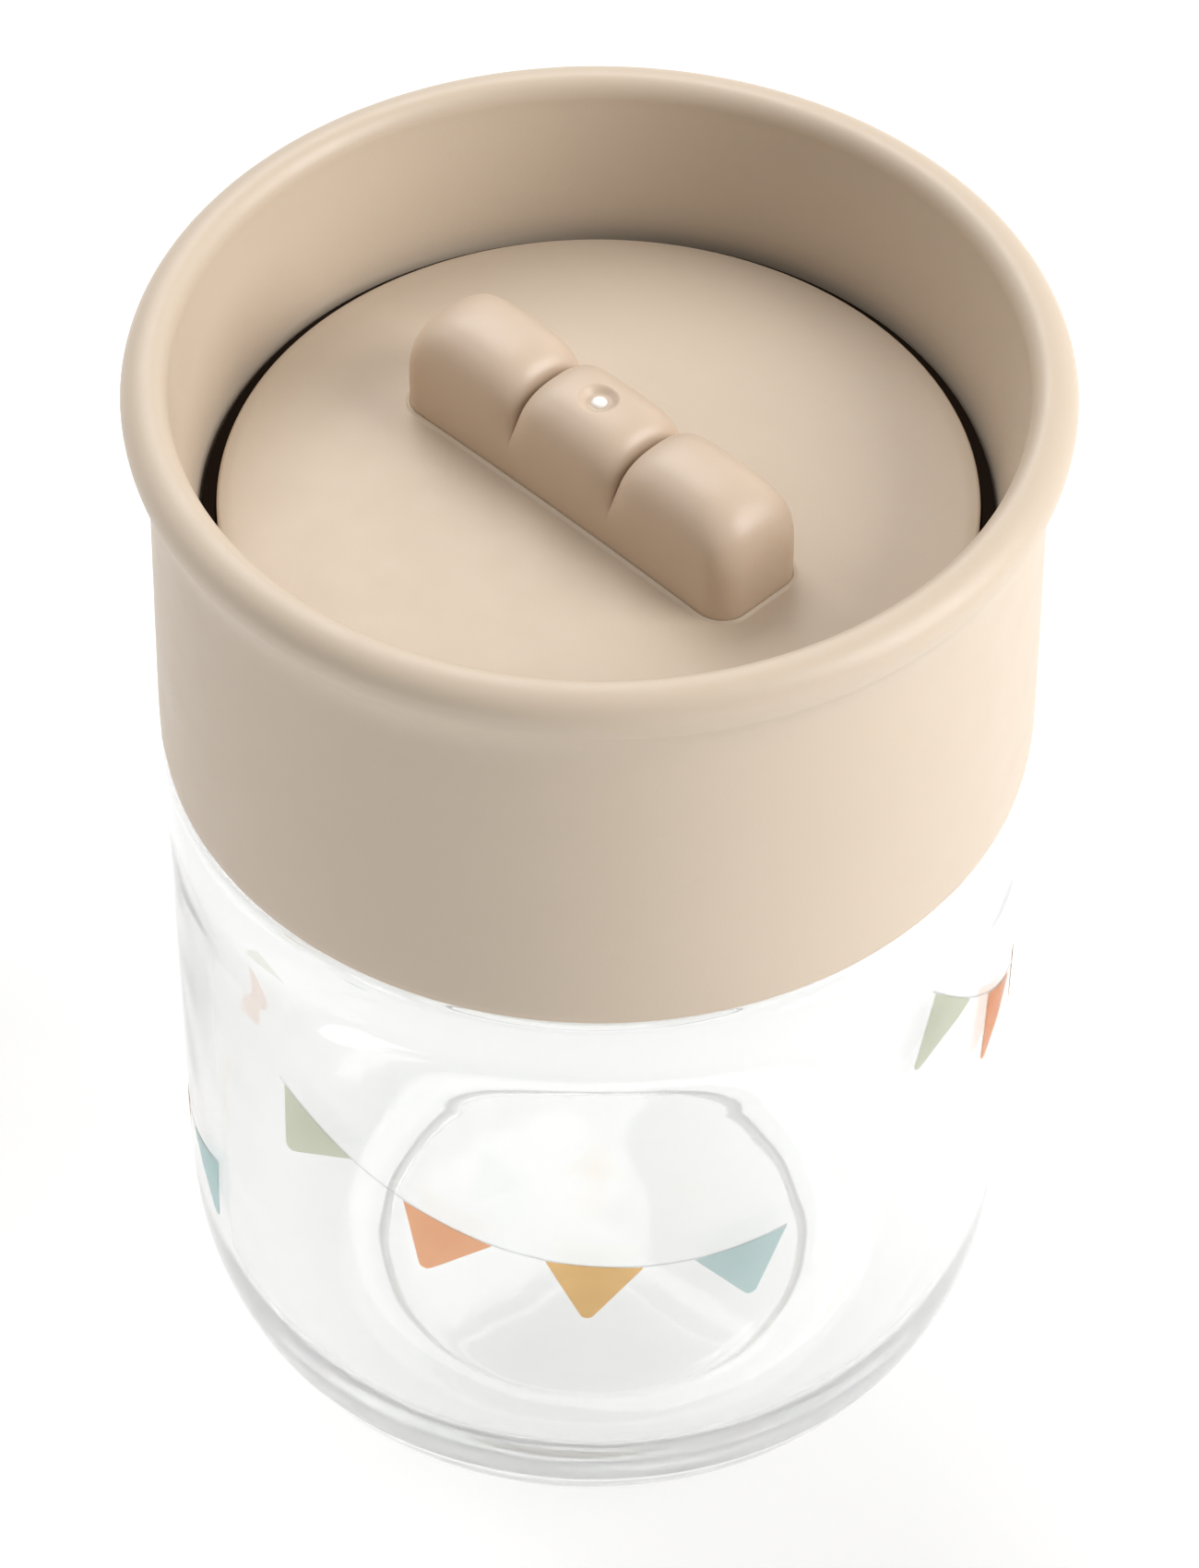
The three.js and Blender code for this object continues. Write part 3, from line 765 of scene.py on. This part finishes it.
def make_grip_foot():
    """The flange that holds the grip under the disc."""
    rows = []
    count = 120
    low, high = GRIP_FOOT, GRIP_FOOT + FLANGE_HIGH
    for grow, z in ((0.3, low), (0.4, low + 0.2 * MM), (0.4, high - 0.2 * MM), (0.3, high)):
        rows.append([(x, y, z) for x, y in slot_outline(grow * MM, count)])
    verts = [v for row in rows for v in row]
    faces = [list(range(count))[::-1], [3 * count + k for k in range(count)]]
    faces += bridged(len(rows), count)
    piece_from("grip_flange", verts, faces, GRIP_PLASTIC, "valve_unit", ())


def make_stem():
    """The hollow stem under the flange, with a groove for its ring."""
    groove = (RING_LOW.z + RING_HIGH.z) / 2
    low = GRIP_LOW.z
    top = SEAL_HIGH.z + 0.28 * MM
    bore = 1.3 * MM
    neck = STEM_R - 1.1 * MM
    outline = rounded(
        [
            (bore, low, 0.2 * MM),
            (STEM_R, low, 0.5 * MM),
            (STEM_R, groove - 1.1 * MM, 0.15 * MM),
            (neck, groove - 1.1 * MM, 0.2 * MM),
            (neck, groove + 1.1 * MM, 0.2 * MM),
            (STEM_R, groove + 1.1 * MM, 0.15 * MM),
            (STEM_R, top, 0),
            (bore, top, 0),
        ]
    )
    verts, faces = turned(outline, FINE_SEGMENTS)
    piece_from("grip_stem", verts, faces, GRIP_PLASTIC, "valve_unit", ())


def make_seal_and_washer():
    """The seal, with a lip that fills the gap round the disc in near black as painted shade, and the washer
    that clamps it.
    """
    hole = STEM_R + 0.3 * MM
    # The lip rises into the gap round the disc, where its near-black colour is painted shade.
    lip_out, lip_in = SEAL_HIGH.x + 0.35 * MM, DISC_R + 0.1 * MM
    seal = rounded(
        [
            (hole, SEAL_LOW.z, 0.1 * MM),
            (SEAL_HIGH.x, SEAL_LOW.z, 0.2 * MM),
            (lip_out, SEAL_LOW.z + 0.5 * MM, 0.12 * MM),
            (lip_out, SEAL_LOW.z + 1.7 * MM, 0.15 * MM),
            (lip_in, SEAL_LOW.z + 2.1 * MM, 0.12 * MM),
            (lip_in, SEAL_HIGH.z, 0.1 * MM),
            (hole, SEAL_HIGH.z, 0.1 * MM),
        ]
    )
    verts, faces = turned(seal)
    piece_from("silicone_seal", verts, faces, SEAL_PAINTED_SHADE, "valve_unit", ["valve_seal"])
    washer = rounded(
        [
            (hole, WASHER_LOW.z, 0.1 * MM),
            (WASHER_HIGH.x, WASHER_LOW.z, 0.45 * MM),
            (WASHER_HIGH.x, WASHER_HIGH.z, 0.2 * MM),
            (hole, WASHER_HIGH.z, 0.1 * MM),
        ]
    )
    verts, faces = turned(washer, FINE_SEGMENTS)
    piece_from("clamp_washer", verts, faces, WHITE_PLASTIC, "valve_unit", ["seal_washer"])


def make_gasket_and_ring():
    """The gasket on the cup's neck and the ring in the stem's groove."""
    inside, corner = 31.2 * MM, 0.35 * MM
    gasket = rounded(
        [
            (inside, GASKET_LOW.z, corner),
            (GASKET_HIGH.x, GASKET_LOW.z, corner),
            (GASKET_HIGH.x, GASKET_HIGH.z, corner),
            (inside, GASKET_HIGH.z, corner),
        ]
    )
    verts, faces = turned(gasket)
    piece_from("neck_gasket", verts, faces, SILICONE, "gasket_ring", ["collar_gasket"])
    radius = (RING_HIGH.z - RING_LOW.z) / 2
    ring = arc((RING_HIGH.x - radius, (RING_LOW.z + RING_HIGH.z) / 2), (radius, radius), 0, 345, 23)
    verts, faces = turned(ring, FINE_SEGMENTS)
    piece_from("stem_o_ring", verts, faces, SILICONE, "valve_unit", ["stem_ring"])


def make_vent_and_flap():
    """The button in the middle lobe's recess and the flap under the stem."""
    top = DISC_EDGE + MIDDLE_LOBE_TOP - 0.28 * MM
    vent = smooth_through(
        [
            (0, VENT_LOW.z),
            (0.7 * MM, VENT_LOW.z + 0.02 * MM),
            (VENT_HIGH.x, VENT_LOW.z + 0.3 * MM),
            (VENT_HIGH.x, top - 0.9 * MM),
            (0.72 * MM, top - 0.45 * MM),
            (0.6 * MM, top - 0.2 * MM),
            (0.4 * MM, top - 0.06 * MM),
            (0, top),
        ],
        6,
    )
    verts, faces = turned(vent, 48)
    piece_from("vent_button", verts, faces, WHITE_PLASTIC, "valve_unit", ["vent_insert"])
    flap_low, flap_top = FLAP_LOW.z, GRIP_LOW.z - 0.3 * MM
    flap = rounded(
        [
            (0, flap_low, 0),
            (2.4 * MM, flap_low, 0.4 * MM),
            (FLAP_HIGH.x, flap_low + 0.5 * MM, 0.3 * MM),
            (FLAP_HIGH.x, flap_top, 0.3 * MM),
            (MM, flap_top, 0.2 * MM),
            (MM, FLAP_HIGH.z - 0.3 * MM, 0.3 * MM),
            (0, FLAP_HIGH.z, 0),
        ]
    )
    verts, faces = turned(flap, 64)
    piece_from("air_flap", verts, faces, SILICONE, "valve_unit", ["vent_flap"])


def make_carrier():
    """The spoked ring under the seat: a turned rim and hub, with four tapered spokes between them."""
    low, high = CARRIER_LOW.z, CARRIER_HIGH.z
    rim_in, rim_out, lug_out = 27.3 * MM, 29.2 * MM, 30.5 * MM
    rim = rounded(
        [
            (rim_in, high - 5.7 * MM, 0.4 * MM),
            (rim_out, high - 5.7 * MM, 0.4 * MM),
            (rim_out, high - 3.3 * MM, 0.2 * MM),
            (lug_out, high - 3.2 * MM, 0.3 * MM),
            (lug_out, high - 1.7 * MM, 0.4 * MM),
            (rim_out, high - 1.7 * MM, 0.2 * MM),
            (rim_out, high, 0.3 * MM),
            (rim_in, high, 0.3 * MM),
        ]
    )
    verts, faces = turned(rim)
    piece_from(
        "carrier_rim", verts, faces, CARRIER_PLASTIC, "rim_collar", ["valve_carrier"]
    )
    hub_in, hub_out, corner = 4.3 * MM, 6.4 * MM, 0.4 * MM
    hub_top = low + 8.5 * MM
    hub = rounded(
        [(hub_in, low, corner), (hub_out, low, corner), (hub_out, hub_top, corner), (hub_in, hub_top, corner)]
    )
    verts, faces = turned(hub, FINE_SEGMENTS)
    piece_from("carrier_hub", verts, faces, CARRIER_PLASTIC, "rim_collar", ())
    middle = low + 6.8 * MM
    for i in range(4):
        verts, faces = spoke(6.2 * MM, 27.5 * MM, middle)
        turn = math.pi / 4 + i * math.pi / 2
        c, s = math.cos(turn), math.sin(turn)
        verts = [(x * c - y * s, x * s + y * c, z) for x, y, z in verts]
        name = f"carrier_spoke_{i + 1}"
        piece_from(name, verts, faces, CARRIER_PLASTIC, "rim_collar", ())


def spoke(start, end, middle):
    """A bar with rounded edges that waists in between the hub and the rim."""
    verts = []
    steps, sides = 16, 20
    for i in range(steps + 1):
        t = i / steps
        waist = 1 - 0.28 * math.sin(math.pi * t)
        for k in range(sides):
            a = TURN * k / sides
            y = 1.3 * MM * waist * math.copysign(abs(math.cos(a)) ** 0.4, math.cos(a))
            z = 1.2 * MM * math.copysign(abs(math.sin(a)) ** 0.4, math.sin(a))
            verts.append((start + (end - start) * t, y, middle + z))
    faces = bridged(steps + 1, sides)
    faces.append(list(range(sides))[::-1])
    faces.append([steps * sides + k for k in range(sides)])
    return verts, faces


# ---------------------------------------------------------------- printed bunting
INK_LIFT = 0.02 * MM
INK_THICK = 0.03 * MM
INK_SPACING = 1.1 * MM  # of the points inside a pennant
STRING_HALF_WIDE = 0.085 * MM
FACING = -math.pi / 2 + CAMERA_TURN  # the side of the cup that faces the camera
# Each strand is a string in one shallow hanging curve, with pennants at an even pitch that lean as it does.
PENNANT_WIDE = 8.3 * MM
PENNANT_TALL = 7.6 * MM
PENNANT_TIP = 0.6 * MM
PENNANT_PITCH = 12.6 * MM
FIRST_PENNANT = -25 * MM  # from the strand's middle
PENNANTS = [("sage", SAGE), ("coral", CORAL), ("amber", AMBER), ("teal", TEAL)]
STRING_LOW_AT = 5 * MM  # right of the strand's middle
STRING_DIP = 1.6 * MM  # of the lowest point, under the strand's own height
STRING_ROUND = 51 * MM  # radius of the curve at its lowest point
SIDE_LEAN = math.radians(15)  # the side strands climb towards the front
# One strand for each quarter turn to the right from the facing side: its height and its lean.
STRANDS = [
    ("front", 42 * MM, 0),
    ("right", 44 * MM, -SIDE_LEAN),
    ("back", 42 * MM, 0),
    ("left", 25 * MM, SIDE_LEAN),
]


def wall_radius(z):
    """The cup's outside radius at a height on its rounded bottom or its wall."""
    if z <= LOW_WALL_Z:
        drop = (LOW_WALL_Z - z) / LOW_WALL_Z
        across = (1 - min(1.0, drop) ** CORNER_POWER) ** (1 / CORNER_POWER)
        return FOOT_OUT_R + (LOW_WALL_R - FOOT_OUT_R) * across
    t = (z - LOW_WALL_Z) / (SHOULDER - 6 * MM - LOW_WALL_Z)
    return LOW_WALL_R + (WALL_R - LOW_WALL_R) * min(1.0, t)


def on_wall(s, z, lift):
    """The point at arc length s to the right of the facing line, at height z, that far off the wall."""
    r = wall_radius(z) + lift
    a = FACING + s / WALL_R
    return (r * math.cos(a), r * math.sin(a), z)


def inked_shape(name, outline, material):
    """A thin closed sheet on the wall from an outline in (arc length, height), bent at points inside it."""
    low_s, high_s = min(p[0] for p in outline), max(p[0] for p in outline)
    low_z, high_z = min(p[1] for p in outline), max(p[1] for p in outline)
    flat = [Vector(p) for p in outline]
    border = [(i, (i + 1) % len(flat)) for i in range(len(flat))]
    s = low_s + INK_SPACING / 2
    while s < high_s:
        z = low_z + INK_SPACING / 2
        while z < high_z:
            flat.append(Vector((s, z)))
            z += INK_SPACING
        s += INK_SPACING
    cut_up = delaunay_2d_cdt(flat, border, [], 1, 1e-7)
    points, triangles = cut_up[0], cut_up[2]
    used = sorted({v for t in triangles for v in t})
    index = {v: i for i, v in enumerate(used)}
    count = len(used)
    verts = [on_wall(points[v].x, points[v].y, INK_LIFT) for v in used]
    verts += [on_wall(points[v].x, points[v].y, INK_LIFT + INK_THICK) for v in used]
    faces, edges = [], {}
    for t in triangles:
        a, b, c = (index[v] for v in t)
        faces.append([c, b, a])
        faces.append([a + count, b + count, c + count])
        for e in ((a, b), (b, c), (c, a)):
            edges[e] = edges.get(e, 0) + 1
    for (a, b) in edges:
        if (b, a) not in edges:
            faces.append([a, b, b + count, a + count])
    piece_from(name, verts, faces, material, "cup", ())


def flag_outline():
    """A pennant about the middle of its top edge: that edge is straight, and the point below is rounded."""
    tip_point = Vector((0, -PENNANT_TALL))
    left = (Vector((-PENNANT_WIDE / 2, 0)) - tip_point).normalized()
    right = (Vector((PENNANT_WIDE / 2, 0)) - tip_point).normalized()
    half = math.acos(left.dot(right)) / 2
    centre = tip_point + Vector((0, PENNANT_TIP / math.sin(half)))
    sweep = math.pi / 2 - half
    points = [(-PENNANT_WIDE / 2 + PENNANT_WIDE * k / 6, 0) for k in range(7)]
    for k in range(9):
        a = -math.pi / 2 + sweep * (1 - k / 4)
        points.append((centre.x + PENNANT_TIP * math.cos(a), centre.y + PENNANT_TIP * math.sin(a)))
    return points


def string_height(across):
    """Height of the string above the strand's own height, at a distance across from its middle."""
    return (across - STRING_LOW_AT) ** 2 / (2 * STRING_ROUND) - STRING_DIP


def string_slope(across):
    """The string's angle there."""
    return math.atan((across - STRING_LOW_AT) / STRING_ROUND)


def turned_by(points, angle):
    """Flat points turned about (0, 0)."""
    c, s = math.cos(angle), math.sin(angle)
    return [(x * c - y * s, x * s + y * c) for x, y in points]


def placed(points, quarter, height, lean):
    """Points of a strand, in metres about its middle, as (arc length, height) on the wall."""
    middle = WALL_R * TURN / 4 * quarter
    return [(middle + x, height + y) for x, y in turned_by(points, lean)]


def make_bunting():
    """Four pennants and a string for each strand."""
    for quarter, (strand, height, lean) in enumerate(STRANDS):
        for place, (colour_name, colour) in enumerate(PENNANTS):
            across = FIRST_PENNANT + place * PENNANT_PITCH
            flag = turned_by(flag_outline(), string_slope(across))
            local = [(across + x, string_height(across) + y) for x, y in flag]
            name = f"{strand}_{colour_name}_pennant"
            inked_shape(name, placed(local, quarter, height, lean), colour)
        start = FIRST_PENNANT - PENNANT_WIDE / 2
        length = (len(PENNANTS) - 1) * PENNANT_PITCH + PENNANT_WIDE
        run = [start + length * k / 72 for k in range(73)]
        run = [(across, string_height(across)) for across in run]
        make_string(f"{strand}_string", placed(run, quarter, height, lean))


def make_string(name, run):
    """The thin printed line that the pennants hang from."""
    verts = []
    for k, (s, z) in enumerate(run):
        before, after = run[max(0, k - 1)], run[min(len(run) - 1, k + 1)]
        slope = math.atan2(after[1] - before[1], after[0] - before[0])
        for off, lift in ((-1, 0.3), (1, 0.3), (1, 0.9), (-1, 0.9)):
            across = off * STRING_HALF_WIDE
            at = (s - across * math.sin(slope), z + across * math.cos(slope))
            verts.append(on_wall(*at, INK_LIFT + lift * INK_THICK))
    end = 4 * (len(run) - 1)
    faces = bridged(len(run), 4)
    faces += [[3, 2, 1, 0], [end, end + 1, end + 2, end + 3]]
    piece_from(name, verts, faces, STRING, "cup", ())


# ---------------------------------------------------------------- studio
LAMP_TARGET = (0, 0, 0.06)
WORLD_SEEN = 1.02  # strength of the background for the camera, mirrors and glass
WORLD_ON_MATTE = 0.4  # and for rays that light matte surfaces
FLOOR_Z = -0.02 * MM
FLOOR_R = 1.2


def round_the_cup(right, up, distance, target):
    """A place at an angle to the right of the camera's side and an elevation, both in degrees."""
    a = FACING + math.radians(right)
    e = math.radians(up)
    direction = Vector((math.cos(a) * math.cos(e), math.sin(a) * math.cos(e), math.sin(e)))
    return Vector(target) + distance * direction


def area_light(name, right, up, distance, size, power):
    """A white rectangular lamp that points at the cup."""
    lamp = bpy.data.lights.new(name, "AREA")
    lamp.shape = "RECTANGLE"
    lamp.size, lamp.size_y = size
    lamp.energy = power
    obj = bpy.data.objects.new(name, lamp)
    obj.location = round_the_cup(right, up, distance, LAMP_TARGET)
    obj.rotation_euler = (Vector(LAMP_TARGET) - obj.location).to_track_quat("-Z", "Y").to_euler()
    bpy.context.scene.collection.objects.link(obj)


def make_studio():
    """A soft background, three lamps and the floor."""
    world = bpy.data.worlds.new("soft_studio")
    world.use_nodes = True
    background = next(n for n in world.node_tree.nodes if n.type == "BACKGROUND")
    background.inputs["Color"].default_value = (1.0, 0.997, 0.99, 1)
    path = world.node_tree.nodes.new("ShaderNodeLightPath")
    level = world.node_tree.nodes.new("ShaderNodeMapRange")
    level.inputs["To Min"].default_value = WORLD_SEEN
    level.inputs["To Max"].default_value = WORLD_ON_MATTE
    world.node_tree.links.new(path.outputs["Is Diffuse Ray"], level.inputs["Value"])
    world.node_tree.links.new(level.outputs["Result"], background.inputs["Strength"])
    bpy.context.scene.world = world
    area_light("key_right", 76, 30, 1.6, (0.84, 1.32), 26.0)
    area_light("back_left", -158, 51, 1.6, (1.0, 1.0), 13.0)
    area_light("fill_left", -110, 36, 1.6, (0.84, 0.84), 4.0)
    make_floor()


def make_floor():
    """A round floor whose rings get closer together towards the cup."""
    rings, sides = 16, 96
    verts = [(0, 0, FLOOR_Z)]
    for i in range(1, rings + 1):
        r = FLOOR_R * (i / rings) ** 2
        for k in range(sides):
            a = TURN * k / sides
            verts.append((r * math.cos(a), r * math.sin(a), FLOOR_Z))
    faces = [[0, 1 + k, 1 + (k + 1) % sides] for k in range(sides)]
    for i in range(rings - 1):
        a, b = 1 + i * sides, 1 + (i + 1) * sides
        for k in range(sides):
            m = (k + 1) % sides
            faces.append([a + k, b + k, b + m, a + m])
    mesh = bpy.data.meshes.new("studio_floor")
    mesh.from_pydata(verts, [], faces)
    mesh.materials.append(floor_material())
    floor = bpy.data.objects.new("studio_floor", mesh)
    bpy.context.scene.collection.objects.link(floor)


def make_camera():
    """The photo's viewpoint, placed from a point just under the rim's centre."""
    camera = bpy.data.cameras.new("studio_camera")
    camera.sensor_width = 36
    camera.lens = CAMERA_LENS
    camera.shift_x = CAMERA_SHIFT
    obj = bpy.data.objects.new("studio_camera", camera)
    obj.location = round_the_cup(0, CAMERA_UP, CAMERA_AWAY, (0, 0, RIM_TOP - 1.5 * MM))
    obj.rotation_euler = (math.radians(90 - CAMERA_TILT), 0, CAMERA_TURN)
    obj.rotation_euler.rotate_axis("Z", math.radians(CAMERA_ROLL))
    bpy.context.scene.collection.objects.link(obj)
    bpy.context.scene.camera = obj


def set_look():
    """Plain colour management, and enough bounces for the clear wall."""
    scene = bpy.context.scene
    scene.view_settings.view_transform = "Standard"
    scene.view_settings.look = "None"
    scene.cycles.use_denoising = True
    scene.cycles.max_bounces = 20
    scene.cycles.transmission_bounces = 16
    scene.cycles.transparent_max_bounces = 16
    scene.cycles.glossy_bounces = 8
    scene.cycles.diffuse_bounces = 4
    scene.cycles.caustics_reflective = False
    scene.cycles.caustics_refractive = False


make_cup()
make_collar()
make_disc()
make_grip()
make_seal_and_washer()
make_gasket_and_ring()
make_vent_and_flap()
make_carrier()
make_bunting()
make_studio()
make_camera()
set_look()
